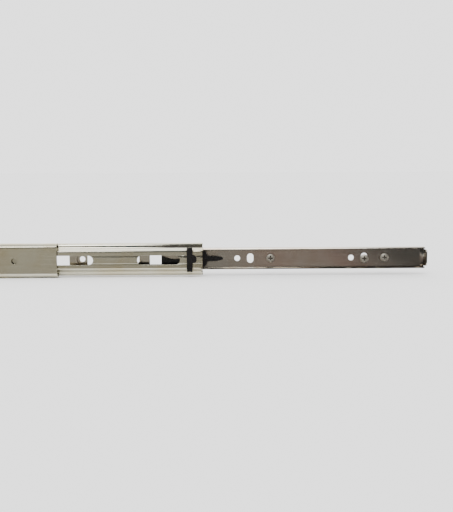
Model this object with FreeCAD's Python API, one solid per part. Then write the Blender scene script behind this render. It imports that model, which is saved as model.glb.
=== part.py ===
import FreeCAD, Part
import math
import os

# Cabinet drawer slide, three sections, shown fully open: the one on the left of a person who faces
# the drawer. X is the travel with +X the way the drawer opens, Y runs from the cabinet wall to the
# drawer side, Z is up. The origin is on the cabinet's mounting face, midway between the two plain
# fixing holes.

# Overall sizes
side_space = 12.7           # cabinet wall to drawer side
cabinet_length = 300.0
intermediate_length = 294.0
drawer_length = 300.0
intermediate_height = 27.2  # lip to lip
intermediate_travel = 120.0
drawer_travel = 185.0
drawer_front_step = 3.0     # drawer rail ahead of the cabinet rail when closed

# Sheet and balls
cabinet_sheet = 1.0
rail_sheet = 1.0
ball_diameter = 3.97
race_clearance = 0.065      # ball surface to race
pair_gap = 0.06             # extra distance between the two ball rows' races
blend_gap = 0.05            # distance that leaves a short straight between two bends
crest_gap = 1.4             # extra distance that lays the intermediate rail's straight over
row_rise = 0.7              # outer ball row above the inner one
lip_wall_gap = 0.15         # intermediate lips to the drawer side
row_to_web = 2.2            # outer ball row to the intermediate web's outer face
cabinet_bend = 1.5          # centreline radii of the bends beside the webs
cabinet_shoulder = 0.6      # cabinet bend centre below the outer balls
intermediate_bend = 0.8
drawer_bend = 0.75
cabinet_lip_deg = 42.0      # where each flange ends round its ball
intermediate_lip_deg = 15.0
drawer_edge_deg = 125.0

# Raised bead and windows of the intermediate web
bead_rise = 0.35
bead_bend = 2.7
bead_edge = 3.7
bead_slope = 2.0
window_length = 35.4
window_height = 7.8
window_first = 18.8         # behind the front end
window_pitch = 71.8
window_count = 4

# Fixing holes: distances behind a rail's front end
hole_diameter = 4.8
hole_repeat = 96.0
screw_from_front = 35.0
slot_from_front = 52.0
hole_from_front = 63.0
slot_width = 5.4
slot_height = 8.0
slot_screw_drop = 0.9       # screw below the middle of its slot
countersink_diameter = 6.4

# Openings and front end of the drawer rail
opening_width = 9.7
opening_height = 9.5
opening_front = 222.8
opening_rear = 275.2
rear_hole_from_end = 11.0
rear_nub_from_end = 5.0
rear_nub_radius = 6.0
rear_nub_width = 1.4
rear_nub_rise = 1.5
flange_setback = 1.5
tab_height = 14.0
tab_reach = 6.6
tab_bend = 4.4              # inner radius
tab_corner = 3.0

# Screws
screw_head_diameter = 7.2
screw_head_height = 2.2
screw_shank_diameter = 3.5
screw_reach = 11.3          # below the mounting face
screw_tip = 2.2
countersunk_proud = 0.15
cross_width = 0.9
cross_span = 4.2
cross_depth = 1.1

# Ball cages
cage_sheet = 0.4
outer_cage_length = 150.0
inner_cage_length = 75.0
outer_ball_count = 11
inner_ball_count = 7
pocket_clearance = 0.1
pocket_half_depth = 1.3
cage_end = 9.0              # first ball from the end of its cage
cage_bridge = 4.0
outer_cage_gap = 0.25       # cabinet web to cage
outer_cage_window = 4.6
outer_cage_corner = 1.0
finger_short = 0.2          # fingers end this far inside the ball's own radius
inner_cage_offset = 1.2     # outer ball row to the inner cage's band
inner_cage_window = 6.2
inner_cage_clearance = 0.8  # outer race to the knee of the inner cage
inner_finger_start = 1.2    # before the ball centre
inner_cage_setback = 1.8    # front stop to the inner cage's front end

# Stops
cage_stop_gap = 1.0
cage_stop_length = 3.0
cage_stop_height = 3.0
cage_stop_z = 5.8
cage_stop_rise = 0.6
stop_behind_front = 8.4     # front edge of the black bar
stop_width = 4.5
stop_height = 20.2
stop_fit = 0.12
stop_proud = 0.4
stop_nub_radius = 3.4
stop_nub_z = 0.6
stop_plate_reach = 5.0
stop_plate_height = 10.0
stop_plate_thickness = 1.0
boss_length = 8.0
boss_bottom = -3.5
boss_top = 0.4
bumper_thickness = 5.4
bumper_height = 19.0
bumper_depth = 5.0
bumper_corner = 2.0
peg_diameter = 4.0
peg_spacing = 11.0
peg_fit = 0.1

# Release lever
lever_gap = 0.15
lever_thickness = 1.9
pivot_behind_front = 3.0    # behind the intermediate's front end, when open
lever_front = 7.0           # convex edge ahead of the pivot
lever_half_height = 6.3
lever_edge_bulge = 1.6
lever_body_reach = 6.0      # full height ends this far behind the pivot
tongue_reach = 20.0
tongue_root = 2.2
tongue_shoulder = 1.9
tongue_shoulder_reach = 15.0
tongue_tip = 0.8
tail_reach = 31.5
tail_top = 2.6
tail_middle = -0.1
tail_waist = -0.4
tail_waist_reach = 17.0
tail_bottom = -5.2
catch_gap = 0.2
catch_length = 2.8
catch_bottom = -0.6
catch_top = 1.4
catch_clearance = 0.55      # inner cage to the catch's end
catch_overlap = 1.3         # boss past the catch's end
rivet_diameter = 3.0
rivet_head_diameter = 5.4
rivet_head_height = 0.6
rivet_fit = 0.05

# Values that follow from the ones above
race = ball_diameter / 2 + race_clearance
rail_race = race + rail_sheet / 2
cabinet_race = race + cabinet_sheet / 2
inner_y = side_space - lip_wall_gap - race - rail_sheet
inner_z = intermediate_height / 2 - race - rail_sheet
outer_z = inner_z + row_rise
row_distance = 2 * race + rail_sheet + pair_gap
outer_y = inner_y - math.sqrt(row_distance ** 2 - row_rise ** 2)
web_y = outer_y - row_to_web
drawer_web_y = side_space - rail_sheet

cabinet_front = screw_from_front + hole_repeat / 2
cabinet_rear = cabinet_front - cabinet_length
intermediate_front = cabinet_front + intermediate_travel
intermediate_rear = intermediate_front - intermediate_length
drawer_front = cabinet_front + drawer_front_step + intermediate_travel + drawer_travel
drawer_rear = drawer_front - drawer_length
outer_cage_x = (cabinet_front + intermediate_rear) / 2
inner_cage_front = intermediate_front - stop_behind_front - stop_width - inner_cage_setback
stop_rear = intermediate_front - stop_behind_front - stop_width
pivot_x = intermediate_front - pivot_behind_front
catch_y = outer_y + inner_cage_offset + cage_sheet / 2 + catch_clearance


def point(y, z, x=0.0):
    return FreeCAD.Vector(x, y, z)


def box(x, y, z):
    """Box from three (low, high) pairs."""
    solid = Part.makeBox(x[1] - x[0], y[1] - y[0], z[1] - z[0])
    solid.translate(FreeCAD.Vector(x[0], y[0], z[0]))
    return solid


def rod_y(x, z, diameter, y):
    """Round bar along Y at (x, z) over the (low, high) pair y."""
    return Part.makeCylinder(diameter / 2, y[1] - y[0], point(y[0], z, x), FreeCAD.Vector(0, 1, 0))


def prism_y(outline, y):
    """Closed outline of edges drawn at Y=0 in the XZ plane, extruded over the (low, high) pair y."""
    solid = Part.Face(Part.Wire(outline)).extrude(FreeCAD.Vector(0, y[1] - y[0], 0))
    solid.translate(FreeCAD.Vector(0, y[0], 0))
    return solid


def rounded_slot(x, z, length_x, length_z, y):
    """Slot with round ends: two rods and the block between them."""
    width = min(length_x, length_z)
    dx = (length_x - width) / 2
    dz = (length_z - width) / 2
    ends = [rod_y(x - dx, z - dz, width, y), rod_y(x + dx, z + dz, width, y)]
    hx = dx if dx else width / 2
    hz = dz if dz else width / 2
    return box((x - hx, x + hx), y, (z - hz, z + hz)).multiFuse(ends)


def tangent(first, second):
    """Direction and left normal of the straight that joins two bends (y, z, radius, turn)."""
    dy = second[0] - first[0]
    dz = second[1] - first[1]
    shift = second[3] * second[2] - first[3] * first[2]
    run = math.sqrt(max(dy * dy + dz * dz - shift * shift, 0.0))
    angle = math.atan2(dz, dy) - math.atan2(shift, run)
    return FreeCAD.Vector(0, -math.sin(angle), math.cos(angle))


def bend_points(bends, start_deg, end_deg, offset):
    """Start and end of each bend on the path that lies offset to the left of the centreline."""
    normals = [tangent(a, b) for a, b in zip(bends, bends[1:])]
    points = []
    for index, (y, z, radius, turn) in enumerate(bends):
        centre = point(y, z)
        reach = radius - turn * offset
        if index:
            start = centre - normals[index - 1] * (turn * reach)
        else:
            start = centre + point(math.cos(start_deg), math.sin(start_deg)) * reach
        if index < len(normals):
            end = centre - normals[index] * (turn * reach)
        else:
            end = centre + point(math.cos(end_deg), math.sin(end_deg)) * reach
        points.append((centre, reach, turn, start, end))
    return points


def bend_arc(centre, reach, turn, start, end):
    a = math.atan2(start.z - centre.z, start.y - centre.y)
    b = math.atan2(end.z - centre.z, end.y - centre.y)
    sweep = (b - a) % (2 * math.pi) if turn > 0 else -((a - b) % (2 * math.pi))
    middle = centre + point(math.cos(a + sweep / 2), math.sin(a + sweep / 2)) * reach
    return Part.Arc(start, middle, end).toShape()


def side_edges(points):
    edges = []
    last = None
    for centre, reach, turn, start, end in points:
        if last is not None:
            edges.append(Part.LineSegment(last, start).toShape())
        edges.append(bend_arc(centre, reach, turn, start, end))
        last = end
    return edges


def sheet_face(bends, end_deg, thickness):
    """Section of a bent sheet, symmetrical about Z=0. Each bend is (y, z, radius, turn)."""
    mirrored = [(y, -z, radius, turn) for y, z, radius, turn in reversed(bends)]
    path = bends + mirrored
    start = math.radians(end_deg)
    left = bend_points(path, start, -start, thickness / 2)
    right = bend_points(path, start, -start, -thickness / 2)
    caps = [(left[0][3], right[0][3]), (left[-1][4], right[-1][4])]
    edges = side_edges(left) + side_edges(right)
    edges += [Part.LineSegment(a, b).toShape() for a, b in caps]
    return Part.Face(Part.Wire(Part.__sortEdges__(edges)))


def extrude_x(face, rear, front):
    solid = face.extrude(FreeCAD.Vector(front - rear, 0, 0))
    solid.translate(FreeCAD.Vector(rear, 0, 0))
    return solid


def tangent_z(y, other_y, other_z, distance):
    """Height of a bend at y that lies the given distance below the ball centre."""
    return other_z - math.sqrt(distance ** 2 - (y - other_y) ** 2)


def cabinet_face():
    bend_y = cabinet_sheet / 2 + cabinet_bend
    bends = [(outer_y, outer_z, cabinet_race, 1), (bend_y, outer_z - cabinet_shoulder, cabinet_bend, 1)]
    return sheet_face(bends, cabinet_lip_deg, cabinet_sheet)


def intermediate_face():
    crest_y = web_y + rail_sheet / 2 + intermediate_bend
    crest_distance = rail_race + intermediate_bend + crest_gap
    crest_z = tangent_z(crest_y, outer_y, outer_z, crest_distance)
    middle = web_y + rail_sheet / 2
    bends = [
        (inner_y, inner_z, rail_race, 1),
        (outer_y, outer_z, rail_race, -1),
        (crest_y, crest_z, intermediate_bend, 1),
        (middle - bead_bend, bead_edge, bead_bend, -1),
        (middle - bead_rise + bead_bend, bead_edge - bead_slope, bead_bend, 1),
    ]
    return sheet_face(bends, intermediate_lip_deg, rail_sheet)


def drawer_face():
    crest_y = side_space - rail_sheet / 2 - drawer_bend
    crest_z = tangent_z(crest_y, inner_y, inner_z, rail_race + drawer_bend + blend_gap)
    bends = [(inner_y, inner_z, rail_race, 1), (crest_y, crest_z, drawer_bend, -1)]
    return sheet_face(bends, -drawer_edge_deg, rail_sheet)


def repeated(from_front, front, length):
    """Places of a feature that repeats along a rail from its front end."""
    count = int((length - from_front - 10) // hole_repeat) + 1
    return [front - from_front - index * hole_repeat for index in range(count)]


def bump(x, z, y):
    return box((x - cage_stop_length / 2, x + cage_stop_length / 2), y,
               (z - cage_stop_height / 2, z + cage_stop_height / 2))


def peg_places():
    return [(cabinet_rear + bumper_thickness / 2, side * peg_spacing / 2) for side in (-1, 1)]


def cabinet_rail():
    rail = extrude_x(cabinet_face(), cabinet_rear, cabinet_front)
    through = (-1.0, cabinet_sheet + 1.0)
    cuts = [rod_y(x, 0, hole_diameter, through)
            for x in (cabinet_front - screw_from_front, cabinet_front - screw_from_front - hole_repeat)]
    for x in repeated(hole_from_front, cabinet_front, cabinet_length):
        cuts.append(rod_y(x, 0, screw_shank_diameter + 0.4, through))
        cuts.append(Part.makeCone(screw_shank_diameter / 2 + 0.2, countersink_diameter / 2, cabinet_sheet,
                                  point(0, 0, x), FreeCAD.Vector(0, 1, 0)))
    cuts += [rounded_slot(x, 0, slot_width, slot_height, through)
             for x in repeated(slot_from_front, cabinet_front, cabinet_length)]
    cuts += [rod_y(x, z, peg_diameter + 2 * peg_fit, through) for x, z in peg_places()]
    rail = rail.cut(Part.makeCompound(cuts))
    stop_x = outer_cage_x + outer_cage_length / 2 + cage_stop_gap + cage_stop_length / 2
    rise = (cabinet_sheet - 0.5, cabinet_sheet + cage_stop_rise)
    return rail.multiFuse([bump(stop_x, side * cage_stop_z, rise) for side in (-1, 1)])


def cross_recess(x, z, y):
    """Cross-shaped recess over the (low, high) pair y."""
    half = cross_span / 2
    thin = cross_width / 2
    across = box((x - half, x + half), y, (z - thin, z + thin))
    return across.fuse(box((x - thin, x + thin), y, (z - half, z + half)))


def screw_shank(x, z, face_y, outward):
    """Shank from face_y in the outward direction (+1 or -1 along Y), with a pointed tip."""
    direction = FreeCAD.Vector(0, outward, 0)
    straight = screw_reach - screw_tip
    radius = screw_shank_diameter / 2
    shank = Part.makeCylinder(radius, straight, point(face_y, z, x), direction)
    tip_at = point(face_y + outward * straight, z, x)
    return shank.fuse(Part.makeCone(radius, 0.3, screw_tip, tip_at, direction))


def cabinet_screws():
    screws = []
    for x in repeated(hole_from_front, cabinet_front, cabinet_length):
        head_r = countersink_diameter / 2 - 0.05
        head = Part.makeCone(screw_shank_diameter / 2, head_r, cabinet_sheet - 0.05,
                             point(0.05, 0, x), FreeCAD.Vector(0, 1, 0))
        cap = rod_y(x, 0, 2 * head_r, (cabinet_sheet, cabinet_sheet + countersunk_proud))
        shank = screw_shank(x, 0, 0.1, -1)
        recess_y = (cabinet_sheet + countersunk_proud - cross_depth * 0.8, cabinet_sheet + 1.0)
        screw = head.multiFuse([cap, shank])
        screws.append(screw.cut(cross_recess(x, 0, recess_y)))
    return Part.makeCompound(screws)


def rear_bumper():
    """Soft block on the cabinet rail's web, held by two pegs, that the intermediate rail closes against."""
    depth = (cabinet_sheet, cabinet_sheet + bumper_depth)
    height = (-bumper_height / 2, bumper_height / 2)
    block = box((cabinet_rear, cabinet_rear + bumper_thickness), depth, height)
    corners = [edge for edge in block.Edges
               if abs(edge.Vertexes[0].Y - edge.Vertexes[1].Y) < 0.01
               and abs(edge.Vertexes[0].Z - edge.Vertexes[1].Z) < 0.01]
    top = [edge for edge in corners if edge.Vertexes[0].Y > cabinet_sheet + 1]
    block = block.makeFillet(bumper_corner, top)
    pegs = [rod_y(x, z, peg_diameter, (0.1, cabinet_sheet + 0.5)) for x, z in peg_places()]
    return block.multiFuse(pegs)


def strip_face(points, thickness):
    """Section of a thin strip along an open polyline of (y, z) points, with mitred corners."""
    corners = [point(y, z) for y, z in points]
    runs = [(b - a).normalize() for a, b in zip(corners, corners[1:])]
    normals = [FreeCAD.Vector(0, -run.z, run.y) for run in runs]
    left = []
    right = []
    for index, corner in enumerate(corners):
        before = normals[max(index - 1, 0)]
        after = normals[min(index, len(normals) - 1)]
        mitre = (before + after) * (1 / (1 + before.dot(after)))
        left.append(corner + mitre * (thickness / 2))
        right.append(corner - mitre * (thickness / 2))
    outline = left + right[::-1]
    return Part.Face(Part.makePolygon(outline + outline[:1]))


def ball_places(rear, length, count):
    first = rear + cage_end
    step = (length - 2 * cage_end) / (count - 1)
    return [first + index * step for index in range(count)]


def ball_row(places, y, z):
    return Part.makeCompound([Part.makeSphere(ball_diameter / 2, point(y, z, x)) for x in places])


def cage(profile, rear, length, places, ball_y, bridge_y, bridge_z):
    """Two bent strips with a pocket for each ball, joined by a bridge at each end."""
    pieces = []
    for side in (-1, 1):
        strip = extrude_x(strip_face([(y, side * z) for y, z in profile], cage_sheet), rear, rear + length)
        pocket_z = side * profile[-1][1]
        pockets = [Part.makeCylinder(ball_diameter / 2 + pocket_clearance, 2 * pocket_half_depth,
                                     point(ball_y, pocket_z - pocket_half_depth, x)) for x in places]
        pieces.append(strip.cut(Part.makeCompound(pockets)))
    band = (bridge_y - cage_sheet / 2, bridge_y + cage_sheet / 2)
    for start in (rear, rear + length - cage_bridge):
        pieces.append(box((start, start + cage_bridge), band, (-bridge_z, bridge_z)))
    return pieces[0].multiFuse(pieces[1:]).removeSplitter()


def outer_ball_places():
    return ball_places(outer_cage_x - outer_cage_length / 2, outer_cage_length, outer_ball_count)


def outer_cage():
    y = cabinet_sheet + outer_cage_gap + cage_sheet / 2
    profile = [
        (y, outer_cage_window),
        (y, outer_z - outer_cage_corner),
        (y + outer_cage_corner, outer_z),
        (outer_y + ball_diameter / 2 - finger_short, outer_z),
    ]
    rear = outer_cage_x - outer_cage_length / 2
    return cage(profile, rear, outer_cage_length, outer_ball_places(), outer_y, y, outer_cage_window + 0.5)


def inner_ball_places():
    return ball_places(inner_cage_front - inner_cage_length, inner_cage_length, inner_ball_count)


def inner_cage():
    y = outer_y + inner_cage_offset
    knee_z = outer_z - race - rail_sheet - inner_cage_clearance
    profile = [
        (y, inner_cage_window),
        (y, knee_z),
        (inner_y - inner_finger_start, inner_z),
        (inner_y + ball_diameter / 2 - finger_short, inner_z),
    ]
    rear = inner_cage_front - inner_cage_length
    return cage(profile, rear, inner_cage_length, inner_ball_places(), inner_y, y, inner_cage_window + 0.5)


def window_places():
    fronts = [intermediate_front - window_first - index * window_pitch for index in range(window_count)]
    return [(front - window_length, front) for front in fronts]


def stop_opening(clearance, y):
    """Slot of the front stop with its half round, grown by the clearance."""
    slot_x = (stop_rear - clearance, stop_rear + stop_width + clearance)
    half = stop_height / 2 + clearance
    slot = box(slot_x, y, (-half, half))
    nub = rod_y(stop_rear + stop_width, stop_nub_z, 2 * (stop_nub_radius + clearance), y)
    keep = box((slot_x[0], slot_x[1] + 2 * stop_nub_radius), y, (-half, half))
    return slot.fuse(nub.common(keep))


def intermediate_rail():
    rail = extrude_x(intermediate_face(), intermediate_rear, intermediate_front)
    through = (web_y - 1.0, web_y + rail_sheet + 0.3)
    cuts = [rounded_slot((rear + front) / 2, 0, window_length, window_height, through)
            for rear, front in window_places()]
    cuts.append(stop_opening(stop_fit, through))
    rail = rail.cut(Part.makeCompound(cuts)).removeSplitter()
    stop_x = outer_cage_x - outer_cage_length / 2 - cage_stop_gap - cage_stop_length / 2
    rise = (web_y - cage_stop_rise, web_y + 0.5)
    return rail.multiFuse([bump(stop_x, side * cage_stop_z, rise) for side in (-1, 1)])


def front_stop():
    """Black stop: bar in the slot, plate behind the web and the boss that catches the lever."""
    back = web_y + rail_sheet + stop_fit
    front = web_y - stop_proud
    bar = stop_opening(0.0, (front, web_y + rail_sheet))
    half = stop_plate_height / 2
    core = stop_opening(0.0, (front, back + 0.1))
    core = core.common(box((stop_rear, intermediate_front), (front, back + 0.1), (-half, half)))
    plate_x = (stop_rear, stop_rear + stop_width + stop_plate_reach)
    plate = box(plate_x, (back, back + stop_plate_thickness), (-half, half))
    boss = box((stop_rear, stop_rear + boss_length), (back, catch_y + catch_overlap),
               (boss_bottom, boss_top))
    return bar.multiFuse([core, plate, boss]).removeSplitter()


def rear_nub(x):
    """Curved ridge pressed up from the web near the drawer rail's rear end."""
    y = (drawer_web_y - rear_nub_rise, drawer_web_y + 0.2)
    ring = rod_y(x + rear_nub_radius, 0, 2 * rear_nub_radius, y)
    ring = ring.cut(rod_y(x + rear_nub_radius, 0, 2 * (rear_nub_radius - rear_nub_width), y))
    reach = rear_nub_radius * 0.75
    return ring.common(box((x - 1, x + rear_nub_radius * 0.45), y, (-reach, reach)))


def front_tab():
    """Tongue of the web, bent toward the cabinet at the front end, with its free corners rounded."""
    half = tab_height / 2
    outer = tab_bend + rail_sheet
    root = drawer_front - outer
    centre_y = side_space - outer
    outline = [
        (root - rail_sheet, side_space - rail_sheet), (root - rail_sheet, side_space), (root, side_space),
        (drawer_front, centre_y), (drawer_front, side_space - tab_reach),
        (drawer_front - rail_sheet, side_space - tab_reach), (drawer_front - rail_sheet, centre_y),
        (root, side_space - rail_sheet),
    ]
    corners = [FreeCAD.Vector(x, y, -half) for x, y in outline]
    edges = [Part.LineSegment(a, b).toShape() for a, b in zip(corners, corners[1:] + corners[:1])]
    slant = math.sqrt(0.5)
    for index, radius in ((2, outer), (6, tab_bend)):
        middle = FreeCAD.Vector(root + radius * slant, centre_y + radius * slant, -half)
        edges[index] = Part.Arc(corners[index], middle, corners[index + 1]).toShape()
    tab = Part.Face(Part.Wire(edges)).extrude(FreeCAD.Vector(0, 0, tab_height))
    reach = (side_space - tab_reach, side_space)
    block = box((root - rail_sheet, drawer_front), reach, (-half, half))
    free = [edge for edge in block.Edges
            if edge.BoundBox.YMax < reach[0] + 0.01 and edge.BoundBox.ZLength < 0.01]
    return tab.common(block.makeFillet(tab_corner, free))


def drawer_screw_places():
    """(x, z) of the screws: a round hole, low in a slot, a round hole."""
    screw_x = repeated(screw_from_front, drawer_front, drawer_length)
    return [(screw_x[0], 0.0), (drawer_front - slot_from_front, -slot_screw_drop), (screw_x[1], 0.0)]


def drawer_rail():
    section = drawer_face()
    rail = extrude_x(section, drawer_rear, drawer_front - flange_setback)
    through = (drawer_web_y - 1.0, side_space + 1.0)
    rounds = repeated(screw_from_front, drawer_front, drawer_length)[:2]
    rounds += repeated(hole_from_front, drawer_front, drawer_length)
    rounds.append(drawer_rear + rear_hole_from_end)
    cuts = [rod_y(x, 0, hole_diameter, through) for x in rounds]
    cuts += [rounded_slot(x, 0, slot_width, slot_height, through)
             for x in repeated(slot_from_front, drawer_front, drawer_length)]
    for from_front in (opening_front, opening_rear):
        front = drawer_front - from_front
        half = opening_height / 2
        cuts.append(box((front - opening_width, front), through, (-half, half)))
    cuts.append(rod_y(pivot_x, 0, rivet_diameter + 2 * rivet_fit, through))
    rail = rail.multiFuse([front_tab(), rear_nub(drawer_rear + rear_nub_from_end)])
    return rail.cut(Part.makeCompound(cuts)).removeSplitter()


def drawer_screws():
    screws = []
    for x, z in drawer_screw_places():
        top = drawer_web_y - screw_head_height
        head = rod_y(x, z, screw_head_diameter, (top, drawer_web_y))
        rim = [edge for edge in head.Edges if abs(edge.BoundBox.YMax - top) < 0.01]
        head = head.makeFillet(screw_head_height * 0.6, rim)
        shank = screw_shank(x, z, drawer_web_y - 0.2, 1)
        recess = cross_recess(x, z, (top - 1, top + cross_depth))
        screws.append(head.fuse(shank).cut(recess))
    return Part.makeCompound(screws)


def lever_outline():
    """Lever seen along Y, from the tongue tip round to the tail and back, about the pivot."""
    def at(x, z):
        return FreeCAD.Vector(pivot_x + x, 0, z)

    half = lever_half_height
    edge_x = lever_front - lever_edge_bulge
    root_x = lever_front - lever_edge_bulge * (tongue_root / half) ** 2
    tip = tongue_tip
    neck_reach = (tail_waist_reach + lever_body_reach) / 2
    edges = [
        Part.Arc(at(tongue_reach - tip, tip), at(tongue_reach, 0), at(tongue_reach - tip, -tip)),
        Part.LineSegment(at(tongue_reach - tip, -tip), at(tongue_shoulder_reach, -tongue_shoulder)),
        Part.LineSegment(at(tongue_shoulder_reach, -tongue_shoulder), at(root_x, -tongue_root)),
        Part.Arc(at(root_x, -tongue_root), at(lever_front - 0.7, -half * 0.66), at(edge_x - 0.4, -half)),
        Part.LineSegment(at(edge_x - 0.4, -half), at(-lever_body_reach, -half)),
        Part.LineSegment(at(-lever_body_reach, -half), at(-tail_reach, tail_bottom)),
        Part.LineSegment(at(-tail_reach, tail_bottom), at(-tail_reach, tail_top)),
        Part.Arc(at(-tail_reach, tail_top), at(-(tail_reach + tail_waist_reach) / 2, tail_middle),
                 at(-tail_waist_reach, tail_waist)),
        Part.Arc(at(-tail_waist_reach, tail_waist), at(-neck_reach, half * 0.3), at(-lever_body_reach, half)),
        Part.LineSegment(at(-lever_body_reach, half), at(edge_x - 0.4, half)),
        Part.Arc(at(edge_x - 0.4, half), at(lever_front - 0.7, half * 0.66), at(root_x, tongue_root)),
        Part.LineSegment(at(root_x, tongue_root), at(tongue_shoulder_reach, tongue_shoulder)),
        Part.LineSegment(at(tongue_shoulder_reach, tongue_shoulder), at(tongue_reach - tip, tip)),
    ]
    return [edge.toShape() for edge in edges]


def lever_levels():
    back = drawer_web_y - lever_gap
    return back - lever_thickness, back


def release_lever():
    """Black lever: plate on the drawer rail's web, with the catch that stops the drawer."""
    levels = lever_levels()
    plate = prism_y(lever_outline(), levels)
    catch_front = stop_rear - catch_gap
    catch = box((catch_front - catch_length, catch_front), (catch_y, levels[0] + 0.5),
                (catch_bottom, catch_top))
    bore = rod_y(pivot_x, 0, rivet_diameter + 2 * rivet_fit, (levels[0] - 1, levels[1] + 1))
    return plate.fuse(catch).cut(bore)


def lever_rivet():
    top = lever_levels()[0] - lever_gap
    shank = rod_y(pivot_x, 0, rivet_diameter, (top, side_space))
    head = rod_y(pivot_x, 0, rivet_head_diameter, (top - rivet_head_height, top))
    return shank.fuse(head)


parts = {
    "cabinet_rail": cabinet_rail,
    "cabinet_screws": cabinet_screws,
    "rear_bumper": rear_bumper,
    "outer_cage": outer_cage,
    "outer_balls_top": lambda: ball_row(outer_ball_places(), outer_y, outer_z),
    "outer_balls_bottom": lambda: ball_row(outer_ball_places(), outer_y, -outer_z),
    "intermediate_rail": intermediate_rail,
    "front_stop": front_stop,
    "inner_cage": inner_cage,
    "inner_balls_top": lambda: ball_row(inner_ball_places(), inner_y, inner_z),
    "inner_balls_bottom": lambda: ball_row(inner_ball_places(), inner_y, -inner_z),
    "drawer_rail": drawer_rail,
    "drawer_screws": drawer_screws,
    "release_lever": release_lever,
    "lever_rivet": lever_rivet,
}

os.makedirs("parts", exist_ok=True)
for name, build in parts.items():
    shape = build()
    shape.exportStep(os.path.join("parts", name + ".step"))
    print(name, len(shape.Solids), "solids", round(shape.Volume, 1), "mm3", shape.isValid())
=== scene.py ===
import bpy
import bmesh
import math
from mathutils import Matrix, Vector


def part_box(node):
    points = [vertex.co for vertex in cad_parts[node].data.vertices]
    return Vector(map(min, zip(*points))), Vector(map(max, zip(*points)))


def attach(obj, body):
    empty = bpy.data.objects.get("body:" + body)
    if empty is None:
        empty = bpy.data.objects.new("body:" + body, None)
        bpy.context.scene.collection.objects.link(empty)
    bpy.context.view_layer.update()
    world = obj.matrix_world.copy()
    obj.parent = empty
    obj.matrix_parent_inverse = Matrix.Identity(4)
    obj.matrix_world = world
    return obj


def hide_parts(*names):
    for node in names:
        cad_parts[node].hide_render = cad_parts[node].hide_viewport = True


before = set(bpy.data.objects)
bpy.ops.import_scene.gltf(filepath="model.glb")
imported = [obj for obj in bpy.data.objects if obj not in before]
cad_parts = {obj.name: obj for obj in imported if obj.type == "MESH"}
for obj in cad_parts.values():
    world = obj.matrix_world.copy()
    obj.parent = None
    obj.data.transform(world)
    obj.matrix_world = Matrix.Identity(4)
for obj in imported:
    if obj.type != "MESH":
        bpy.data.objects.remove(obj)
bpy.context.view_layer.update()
mm = 0.001
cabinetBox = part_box("cabinet_rail")
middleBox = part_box("intermediate_rail")
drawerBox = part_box("drawer_rail")
print("frame loaded:", len(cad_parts), "nodes")


def lin(hexColour):
    # sRGB hex to the linear colour that a shader takes
    values = [int(hexColour[i:i + 2], 16) / 255 for i in (1, 3, 5)]
    return [v / 12.92 if v <= 0.04045 else ((v + 0.055) / 1.055) ** 2.4 for v in values] + [1.0]


def node(tree, kind, links=None, **settings):
    # one node: settings are its own properties, links fill its sockets with a value or another node's output
    made = tree.nodes.new(kind)
    for name, value in settings.items():
        setattr(made, name, value)
    for socket, value in (links or {}).items():
        if isinstance(value, bpy.types.NodeSocket):
            tree.links.new(value, made.inputs[socket])
        else:
            made.inputs[socket].default_value = value
    return made


def newMaterial(name):
    material = bpy.data.materials.new(name)
    material.use_nodes = True
    tree = material.node_tree
    tree.nodes.clear()
    shader = node(tree, "ShaderNodeBsdfPrincipled")
    node(tree, "ShaderNodeOutputMaterial", {"Surface": shader.outputs["BSDF"]})
    place = node(tree, "ShaderNodeTexCoord").outputs["Object"]
    return material, tree, shader, place


def ramp(tree, value, stops):
    made = node(tree, "ShaderNodeValToRGB", {"Fac": value})
    points = made.color_ramp.elements
    points[0].position, points[0].color = stops[0]
    points[1].position, points[1].color = stops[-1]
    for position, colour in stops[1:-1]:
        points.new(position).color = colour
    return made.outputs["Color"]


def grey(value):
    return (value, value, value, 1.0)


# How far each part of an edge is from the flat face beside it: 1 on a sharp edge, 0 elsewhere.
# The colour that this mask mixes in is a painted highlight on the edges.
def edgeHighlight(tree, radius, spread):
    soft = node(tree, "ShaderNodeBevel", {"Radius": radius * mm}, samples=4)
    geometry = node(tree, "ShaderNodeNewGeometry")
    turn = node(tree, "ShaderNodeVectorMath", {0: soft.outputs["Normal"], 1: geometry.outputs["Normal"]},
                operation="DOT_PRODUCT")
    return ramp(tree, turn.outputs["Value"], [(1.0 - spread, grey(1.0)), (1.0 - spread * 0.3, grey(0.0))])


# Bright zinc plate on cold rolled strip: the rolls leave fine lines along the rail, the plate gives a
# soft warm mirror, handling leaves duller patches, edges get a painted highlight, and painted shade darkens
# corners.
plate = {
    "linePitch": 0.3,       # mm, coarser than real rolling lines, which would not show
    "lineLength": 60.0,     # mm
    "patch": 24.0,          # mm across a handling mark
    "speck": 0.5,           # mm
    "lineDepth": 0.1,       # mm
    "bump": 0.05,           # share of that depth that shows
    "edge": 0.15,           # mm of edge that gets the painted highlight
    "edgeSpread": 0.2,      # how far a normal turns where the painted highlight is full
    "wavePitch": 3.0,       # mm between the shallow waves that the rolls leave
    "waveDepth": 0.03,      # mm
    "waveShare": 0.5,
    "shadeShare": 0.92,           # share of the plate that the painted shade hides in a tight corner
    "speckRough": 0.08,
}
# Each state gives the painted shade's reach, how far in mm it spreads out of a corner; its span, the
# openness at which it is full and at which it is gone; its dark colour; and the range of upward lean over
# which it is painted, so on the strip only faces that look up are darkened, while below -1 it covers every
# face.
stripPlate = {"rough": (0.08, 0.19), "shadeReach": 4.0, "shadeSpan": (0.5, 0.95), "paintedShade": "#2b2a1e",
              "shadeLean": (-0.1, 0.25)}
innerPlate = {"rough": (0.08, 0.19), "shadeReach": 9.0, "shadeSpan": (0.2, 0.62), "paintedShade": "#2c2a26",
              "shadeLean": (-2.0, -1.5)}
screwPlate = {"rough": (0.5, 0.62), "shadeReach": 1.3, "shadeSpan": (0.25, 0.75), "paintedShade": "#060505",
              "shadeLean": (-2.0, -1.5)}


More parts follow.
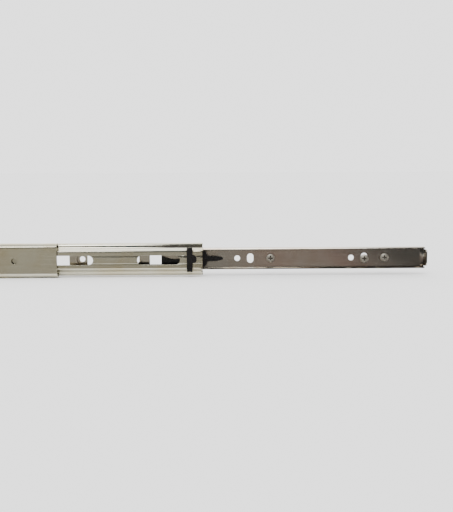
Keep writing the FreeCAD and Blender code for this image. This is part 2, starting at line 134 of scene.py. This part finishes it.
def zincPlate(name, light, dark, stain, state):
    material, tree, shader, place = newMaterial(name)
    along = plate["linePitch"] / plate["lineLength"]
    stretched = node(tree, "ShaderNodeMapping", {"Vector": place, "Scale": (along, 1.0, 1.0)})
    lines = node(tree, "ShaderNodeTexNoise", {"Vector": stretched.outputs["Vector"],
                 "Scale": 1 / (plate["linePitch"] * mm), "Detail": 3.0}).outputs["Fac"]
    patches = node(tree, "ShaderNodeTexNoise", {"Vector": place, "Scale": 1 / (plate["patch"] * mm),
                   "Detail": 6.0, "Roughness": 0.6}).outputs["Fac"]
    specks = node(tree, "ShaderNodeTexNoise", {"Vector": place, "Scale": 1 / (plate["speck"] * mm),
                  "Detail": 2.0}).outputs["Fac"]
    base = ramp(tree, lines, [(0.3, lin(dark)), (0.7, lin(light))])
    amount = ramp(tree, patches, [(0.45, grey(0.0)), (0.75, grey(0.7))])
    stained = node(tree, "ShaderNodeMix", {"Factor": amount, 6: base, 7: lin(stain)}, data_type="RGBA")
    # Painted highlight: the edges are mixed toward the light colour.
    highlitEdge = edgeHighlight(tree, plate["edge"], plate["edgeSpread"])
    bright = node(tree, "ShaderNodeMix", {"Factor": highlitEdge, 6: stained.outputs[2], 7: lin(light)},
                  data_type="RGBA")
    # Painted shade: an occlusion mask darkens corners, grooves and screw recesses toward a dark colour,
    # weighted by how far the face looks up.
    corner = node(tree, "ShaderNodeAmbientOcclusion", {"Distance": state["shadeReach"] * mm}, samples=8)
    full, gone = state["shadeSpan"]
    paintedShade = ramp(tree, corner.outputs["AO"], [(full, grey(plate["shadeShare"])), (gone, grey(0.0))])
    normal = node(tree, "ShaderNodeNewGeometry").outputs["Normal"]
    up = node(tree, "ShaderNodeSeparateXYZ", {"Vector": normal}).outputs["Z"]
    facingUp = node(tree, "ShaderNodeMapRange", {"Value": up, "From Min": state["shadeLean"][0],
                   "From Max": state["shadeLean"][1]}).outputs["Result"]
    shadeAmount = node(tree, "ShaderNodeMath", {0: paintedShade, 1: facingUp}, operation="MULTIPLY")
    colour = node(tree, "ShaderNodeMix", {"Factor": shadeAmount.outputs["Value"], 6: bright.outputs[2],
                  7: lin(state["paintedShade"])}, data_type="RGBA")
    rough = node(tree, "ShaderNodeMapRange", {"Value": patches, "From Min": 0.3, "From Max": 0.75,
                 "To Min": state["rough"][0], "To Max": state["rough"][1]}).outputs["Result"]
    grained = node(tree, "ShaderNodeMath", {0: specks, 1: plate["speckRough"], 2: rough},
                   operation="MULTIPLY_ADD")
    bump = node(tree, "ShaderNodeBump", {"Height": lines, "Strength": plate["bump"],
                "Distance": plate["lineDepth"] * mm})
    rolled = node(tree, "ShaderNodeTexNoise", {"Vector": stretched.outputs["Vector"],
                  "Scale": 1 / (plate["wavePitch"] * mm), "Detail": 1.0}).outputs["Fac"]
    waves = node(tree, "ShaderNodeBump", {"Height": rolled, "Strength": plate["waveShare"],
                 "Distance": plate["waveDepth"] * mm, "Normal": bump.outputs["Normal"]})
    tree.links.new(colour.outputs[2], shader.inputs["Base Color"])
    tree.links.new(grained.outputs["Value"], shader.inputs["Roughness"])
    tree.links.new(waves.outputs["Normal"], shader.inputs["Normal"])
    shader.inputs["Metallic"].default_value = 1.0
    return material


# Hardened, lapped ball steel: a near mirror with a faint haze of grease.
def ballSteel():
    material, tree, shader, place = newMaterial("lapped_ball_steel")
    haze = node(tree, "ShaderNodeTexNoise", {"Vector": place, "Scale": 600.0, "Detail": 3.0}).outputs["Fac"]
    colour = ramp(tree, haze, [(0.4, lin("#c9c9cc")), (0.7, lin("#aeada8"))])
    rough = node(tree, "ShaderNodeMapRange", {"Value": haze, "To Min": 0.05, "To Max": 0.2})
    tree.links.new(colour, shader.inputs["Base Color"])
    tree.links.new(rough.outputs["Result"], shader.inputs["Roughness"])
    shader.inputs["Metallic"].default_value = 1.0
    return material


# Injection moulded acetal or elastomer: black, satin from the mould, a little paler at random, and paler on
# its edges as a painted highlight.
def moulded(name, colour, paleTone, roughness, grainSize, ior):
    material, tree, shader, place = newMaterial(name)
    grain = node(tree, "ShaderNodeTexNoise", {"Vector": place, "Scale": 1 / (grainSize * mm),
                 "Detail": 2.0}).outputs["Fac"]
    flow = node(tree, "ShaderNodeTexNoise", {"Vector": place, "Scale": 180.0, "Detail": 4.0}).outputs["Fac"]
    tone = ramp(tree, flow, [(0.4, lin(colour)), (0.8, lin(paleTone))])
    # Painted highlight: the edges are mixed toward the pale tone.
    highlitEdge = edgeHighlight(tree, 0.25, 0.25)
    edgeLit = node(tree, "ShaderNodeMix", {"Factor": highlitEdge, 6: tone, 7: lin(paleTone)}, data_type="RGBA")
    rough = node(tree, "ShaderNodeMapRange", {"Value": flow, "To Min": roughness[0], "To Max": roughness[1]})
    bump = node(tree, "ShaderNodeBump", {"Height": grain, "Strength": 0.15, "Distance": 0.05 * mm})
    tree.links.new(edgeLit.outputs[2], shader.inputs["Base Color"])
    tree.links.new(rough.outputs["Result"], shader.inputs["Roughness"])
    tree.links.new(bump.outputs["Normal"], shader.inputs["Normal"])
    shader.inputs["IOR"].default_value = ior
    return material


finishes = {
    "rail": zincPlate("zincPlatedStrip", "#dcd9c9", "#bfbba9", "#c4b897", stripPlate),
    "drawerRail": zincPlate("zincPlatedDrawerStrip", "#d2cdc2", "#b3ada2", "#b39c85", innerPlate),
    "cage": zincPlate("zincPlatedThinStrip", "#b4b4b0", "#94938e", "#a39b8c", stripPlate),
    "screw": zincPlate("zincPlatedScrew", "#f2eee2", "#dcd6c6", "#cdbfa2", screwPlate),
    "ball": ballSteel(),
    "acetal": moulded("blackMouldedAcetal", "#060506", "#151315", (0.2, 0.36), 0.3, 1.48),
    "rubber": moulded("greyBlackElastomer", "#141415", "#262524", (0.6, 0.8), 0.4, 1.5),
}
nodeFinish = {
    "cabinet_rail": "rail", "intermediate_rail": "rail", "drawer_rail": "drawerRail",
    "cabinet_screws": "screw", "drawer_screws": "screw", "lever_rivet": "screw",
    "outer_cage": "cage", "inner_cage": "cage",
    "outer_balls_top": "ball", "outer_balls_bottom": "ball",
    "inner_balls_top": "ball", "inner_balls_bottom": "ball",
    "rear_bumper": "rubber", "front_stop": "acetal", "release_lever": "acetal",
}
for name, finish in nodeFinish.items():
    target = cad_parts[name]
    target.data.materials.clear()
    target.data.materials.append(finishes[finish])
print("materials made:", len(finishes))

# Cut and moulded edges are never sharp: each CAD piece gets its own deburred edge.
deburr = {
    "cabinet_rail": 0.12, "intermediate_rail": 0.12, "drawer_rail": 0.12,
    "outer_cage": 0.05, "inner_cage": 0.05,
    "rear_bumper": 0.3, "front_stop": 0.3, "release_lever": 0.3,
    "steps": 2,
    "angle": 35.0,          # degrees
}


def softenEdges(name):
    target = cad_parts[name]
    weld = target.modifiers.new("weld", "WELD")
    weld.merge_threshold = 0.002 * mm
    bevel = target.modifiers.new("deburr", "BEVEL")
    bevel.width = deburr[name] * mm
    bevel.segments = deburr["steps"]
    bevel.limit_method = "ANGLE"
    bevel.angle_limit = math.radians(deburr["angle"])
    bevel.harden_normals = False


for name in nodeFinish:
    if name in deburr:
        softenEdges(name)
print("edges deburred")


def solidBoxes(name):
    # lowest and highest corner of each separate solid of a CAD node
    mesh = bmesh.new()
    mesh.from_mesh(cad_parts[name].data)
    bmesh.ops.remove_doubles(mesh, verts=mesh.verts, dist=0.002 * mm)
    left = set(mesh.verts)
    boxes = []
    while left:
        reached = [left.pop()]
        group = list(reached)
        while reached:
            here = reached.pop()
            near = [edge.other_vert(here) for edge in here.link_edges]
            fresh = [vert for vert in near if vert in left]
            left.difference_update(fresh)
            reached += fresh
            group += fresh
        boxes.append([Vector(pick(vert.co[i] for vert in group) for i in range(3)) for pick in (min, max)])
    mesh.free()
    return sorted(boxes, key=lambda box: box[0].x)


def addPiece(name, mesh, finish, body):
    data = bpy.data.meshes.new(name)
    mesh.normal_update()
    mesh.to_mesh(data)
    mesh.free()
    piece = bpy.data.objects.new(name, data)
    bpy.context.collection.objects.link(piece)
    data.materials.append(finishes[finish])
    for face in data.polygons:
        face.use_smooth = True
    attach(piece, body)
    return piece


def turned(mesh, centre, toward, profile, steps):
    # surface of revolution about Y: profile holds (distance along toward, radius), and a radius may be
    # a function of the angle
    rings = []
    for along, radius in profile:
        ring = []
        for index in range(steps):
            angle = 2 * math.pi * index / steps
            r = radius(angle) if callable(radius) else radius
            offset = Vector((r * math.cos(angle), toward * along, r * math.sin(angle))) * mm
            ring.append(mesh.verts.new(centre + offset))
        rings.append(ring)
    for low, high in zip(rings, rings[1:]):
        for index in range(steps):
            after = (index + 1) % steps
            mesh.faces.new((low[index], low[after], high[after], high[index]))
    mesh.faces.new(rings[0])
    mesh.faces.new(rings[-1])
    bmesh.ops.recalc_face_normals(mesh, faces=mesh.faces)


# Wood screw: cold headed and thread rolled, with a cross recess that narrows as it goes in.
screw = {
    "pitch": 1.5,           # mm
    "core": 1.2,            # mm radius between the threads
    "crest": 1.72,          # mm radius over the threads
    "runIn": 0.8,           # mm over which the thread rises behind the head
    "runOut": 2.4,          # mm over which it fades before the point
    "taper": 2.2,           # mm of core that narrows to the point
    "tipShare": 0.15,       # share of the core left at the point
    "tip": 0.12,            # mm radius
    "panHeight": 2.2,
    "flatHeight": 1.3,
    "ringsPerTurn": 8,
    "steps": 40,
    "recessSpan": 4.4,      # mm across the arms at the top
    "recessArm": 1.2,
    "recessDepth": 1.9,
    "recessFoot": 0.45,     # share of the span left at the bottom
    "recessTop": 0.1,       # mm below the face where the arms start to narrow
    "cutterProud": 0.6,     # mm of cutter over that
}


def threadRadius(along, start, end):
    # radius as a function of the angle, for the ring at this distance along the shank
    fade = min(1.0, (along - start) / screw["runIn"], (end - along) / screw["runOut"])
    turns = along / screw["pitch"]

    def radius(angle):
        phase = (turns - angle / (2 * math.pi)) % 1.0
        ridge = max(0.0, 1.0 - abs(phase - 0.5) * 4.0)
        core = screw["core"] * max(screw["tipShare"], min(1.0, (end - along) / screw["taper"]))
        return core + (screw["crest"] - screw["core"]) * ridge * max(0.0, fade)
    return radius


def recessCutter(centre, toward):
    mesh = bmesh.new()
    top = screw["recessTop"]
    half = screw["recessSpan"] / 2
    arm = screw["recessArm"] / 2
    corners = []
    for turn in range(4):
        angle = turn * math.pi / 2
        for u, v in ((half, -arm), (half, arm), (arm, arm)):
            corners.append((u * math.cos(angle) - v * math.sin(angle),
                            u * math.sin(angle) + v * math.cos(angle)))
    rings = []
    foot = top + screw["recessDepth"]
    for along, share in ((top - screw["cutterProud"], 1.0), (top, 1.0), (foot, screw["recessFoot"])):
        rings.append([mesh.verts.new(centre + Vector((x * share, toward * along, z * share)) * mm)
                      for x, z in corners])
    for low, high in zip(rings, rings[1:]):
        for index in range(len(corners)):
            after = (index + 1) % len(corners)
            mesh.faces.new((low[index], low[after], high[after], high[index]))
    mesh.faces.new(rings[0])
    mesh.faces.new(rings[-1])
    bmesh.ops.recalc_face_normals(mesh, faces=mesh.faces)
    data = bpy.data.meshes.new("recessCutter")
    mesh.to_mesh(data)
    mesh.free()
    return bpy.data.objects.new("recessCutter", data)


def cutRecess(piece, cutter):
    bpy.context.collection.objects.link(cutter)
    cut = piece.modifiers.new("recess", "BOOLEAN")
    cut.object = cutter
    cut.solver = "EXACT"
    graph = bpy.context.evaluated_depsgraph_get()
    shaped = bpy.data.meshes.new_from_object(piece.evaluated_get(graph))
    piece.modifiers.clear()
    piece.data = shaped
    bpy.data.objects.remove(cutter)


def addScrew(name, box, toward, headProfile, headHeight, body):
    # toward is the way the point goes along Y, and headProfile runs from the face down to the neck
    centre = (box[0] + box[1]) / 2
    centre.y = box[0].y if toward > 0 else box[1].y
    length = (box[1].y - box[0].y) / mm
    profile = list(headProfile)
    rings = int((length - headHeight) / screw["pitch"] * screw["ringsPerTurn"])
    for index in range(1, rings):
        along = headHeight + (length - headHeight) * index / rings
        profile.append((along, threadRadius(along, headHeight, length)))
    profile.append((length, screw["tip"]))
    mesh = bmesh.new()
    turned(mesh, centre, toward, profile, screw["steps"])
    piece = addPiece(name, mesh, "screw", body)
    cutRecess(piece, recessCutter(centre, toward))
    return piece


for index, box in enumerate(solidBoxes("drawer_screws")):
    r = (box[1].x - box[0].x) / mm / 2
    neck = screw["panHeight"]
    panHead = [(0.0, r * 0.12), (0.02, r * 0.35), (0.12, r * 0.58), (0.32, r * 0.78), (0.62, r * 0.92),
               (1.0, r * 0.985), (1.45, r), (2.0, r), (2.16, r * 0.97), (neck, r * 0.9),
               (neck, screw["crest"])]
    piece = addScrew("pan_head_screw_%d" % (index + 1), box, 1, panHead, neck, "drawer_member")
    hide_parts("drawer_screws")
for index, box in enumerate(solidBoxes("cabinet_screws")):
    r = (box[1].x - box[0].x) / mm / 2
    neck = screw["flatHeight"]
    flatHead = [(0.0, r * 0.5), (0.0, r * 0.93), (0.05, r * 0.98), (0.14, r), (0.24, r * 0.98),
                (1.12, screw["crest"] * 1.02), (neck, screw["crest"] * 0.95)]
    piece = addScrew("flat_head_screw_%d" % (index + 1), box, -1, flatHead, neck, "cabinet_member")
    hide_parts("cabinet_screws")
print("screws turned")

# Floor, light and camera. The floor and the backdrop are one pale tone. Two cards lie on the floor
# either side of the rails, warm grey at the closed end and nearly black at the open end, and a dark
# strip lies under the drawer rail. Only reflections see them: they give the plate something to mirror.
studio = {
    "backdrop": 2.3,
    "floor": "#f2f2f2",
    "floorGap": 0.3,        # mm under the cabinet rail
    "floorSize": 40.0,      # m
    "diffuse": 1.9,
    "sun": 2.2,
    "horizonDark": 0.05,
    "overhead": 3.0,
    "lean": 42.0,           # degrees that the overhead light leans behind the rails
    "cardGap": 12.0,        # mm from the rails to a card
    "cardSize": 1.6,        # m
    "cardLift": 0.5,        # mm over the cabinet rail's lowest line
    "stripLift": 0.8,       # mm, so that the strip lies over the cards
    "cardFrom": -0.2,       # m along X from the card's middle, where its grading starts
    "cardTo": 0.3,
    "overheadEdge": 0.72,   # height on the leaning dome where the overhead light starts
    "overheadFull": 0.86,
    "sunSpread": 40.0,      # degrees
}
camera = {
    "distance": 600.0,      # mm from the drawer side
    "side": 216.3,          # mm along X
    "height": 74.5,
    "aimX": 223.0,
    "aimZ": 1.8,
    "lens": 50.4,
    "roll": -0.25,          # degrees
}


def makeFloor():
    z = cabinetBox[0].z - studio["floorGap"] * mm
    bpy.ops.mesh.primitive_plane_add(size=studio["floorSize"], location=(0, 0, z))
    floor = bpy.context.object
    floor.name = "floor"
    material, tree, shader, place = newMaterial("mattPaper")
    shader.inputs["Base Color"].default_value = lin(studio["floor"])
    shader.inputs["Roughness"].default_value = 1.0
    shader.inputs["Specular IOR Level"].default_value = 0.0
    floor.data.materials.append(material)


def reflectOnly(card):
    card.visible_camera = False
    card.visible_diffuse = False
    card.visible_shadow = False


def makeCard(name, side):
    size = studio["cardSize"]
    y = (drawerBox[1].y if side > 0 else cabinetBox[0].y) + side * (studio["cardGap"] * mm + size / 2)
    z = cabinetBox[0].z + studio["cardLift"] * mm
    bpy.ops.mesh.primitive_plane_add(size=size, location=(middleBox[1].x, y, z))
    card = bpy.context.object
    card.name = name
    material, tree, shader, place = newMaterial("greyCard" + str(side))
    across = node(tree, "ShaderNodeSeparateXYZ", {"Vector": place}).outputs["X"]
    span = node(tree, "ShaderNodeMapRange", {"Value": across, "From Min": studio["cardFrom"],
                "From Max": studio["cardTo"]})
    tone = ramp(tree, span.outputs["Result"], [
        (0.0, lin("#7c796f")), (0.36, lin("#737067")), (0.42, lin("#5f5d59")), (0.54, lin("#65564f")),
        (0.60, lin("#67625e")), (0.66, lin("#5f4d47")), (0.74, lin("#484340")), (0.80, lin("#211e1c")),
        (0.9, lin("#1b1917"))])
    tree.links.new(tone, shader.inputs["Base Color"])
    shader.inputs["Roughness"].default_value = 1.0
    card.data.materials.append(material)
    reflectOnly(card)


def makeUnderCard():
    # a dark strip under the drawer rail's open stretch, which its lower edges mirror
    gap = studio["cardGap"] * mm
    low = Vector((middleBox[1].x, 0.0, cabinetBox[0].z + studio["stripLift"] * mm))
    size = Vector((drawerBox[1].x - low.x, drawerBox[1].y + gap, 0))
    bpy.ops.mesh.primitive_plane_add(size=1.0, location=low + size / 2 - Vector((0, gap, 0)))
    card = bpy.context.object
    card.name = "under_card"
    card.scale = (size.x, size.y, 1.0)
    material, tree, shader, place = newMaterial("darkCard")
    shader.inputs["Base Color"].default_value = lin("#1d1b19")
    shader.inputs["Roughness"].default_value = 1.0
    card.data.materials.append(material)
    reflectOnly(card)


def makeSun(name, direction, strength, spread):
    data = bpy.data.lights.new(name, "SUN")
    data.energy = strength
    data.angle = math.radians(spread)
    sun = bpy.data.objects.new(name, data)
    bpy.context.collection.objects.link(sun)
    sun.rotation_euler = Vector(direction).to_track_quat("-Z", "Y").to_euler()


def makeWorld():
    world = bpy.data.worlds.new("studio")
    bpy.context.scene.world = world
    world.use_nodes = True
    tree = world.node_tree
    tree.nodes.clear()
    ray = node(tree, "ShaderNodeLightPath")
    toward = node(tree, "ShaderNodeTexCoord").outputs["Generated"]
    lean = math.radians(studio["lean"])
    height = node(tree, "ShaderNodeVectorMath", {0: toward, 1: (0.0, math.sin(lean), math.cos(lean))},
                  operation="DOT_PRODUCT").outputs["Value"]
    seen = ramp(tree, height, [(studio["overheadEdge"], grey(0.0)), (studio["overheadFull"], grey(1.0))])
    ring = node(tree, "ShaderNodeMix", {"Factor": seen, 6: grey(studio["horizonDark"]),
                7: grey(studio["overhead"])}, data_type="RGBA")
    mixed = node(tree, "ShaderNodeMix", {"Factor": ray.outputs["Is Glossy Ray"],
                 6: grey(studio["diffuse"]), 7: ring.outputs[2]}, data_type="RGBA")
    full = node(tree, "ShaderNodeMix", {"Factor": ray.outputs["Is Camera Ray"], 6: mixed.outputs[2],
                7: grey(studio["backdrop"])}, data_type="RGBA")
    background = node(tree, "ShaderNodeBackground", {"Color": full.outputs[2], "Strength": 1.0})
    node(tree, "ShaderNodeOutputWorld", {"Surface": background.outputs["Background"]})


def makeCamera():
    data = bpy.data.cameras.new("camera")
    data.lens = camera["lens"]
    data.sensor_width = 36.0
    made = bpy.data.objects.new("camera", data)
    bpy.context.collection.objects.link(made)
    place = Vector((camera["side"], drawerBox[1].y / mm - camera["distance"], camera["height"])) * mm
    aim = Vector((camera["aimX"], drawerBox[1].y / mm, camera["aimZ"])) * mm
    made.location = place
    made.rotation_euler = (aim - place).to_track_quat("-Z", "Y").to_euler()
    made.rotation_euler.rotate_axis("Z", math.radians(camera["roll"]))
    data.clip_start = 0.01
    bpy.context.scene.camera = made


makeFloor()
makeCard("front_card", -1)
makeCard("back_card", 1)
makeUnderCard()
makeSun("key", (0.15, 0.5, -0.85), studio["sun"], studio["sunSpread"])
makeWorld()
makeCamera()
print("studio ready")
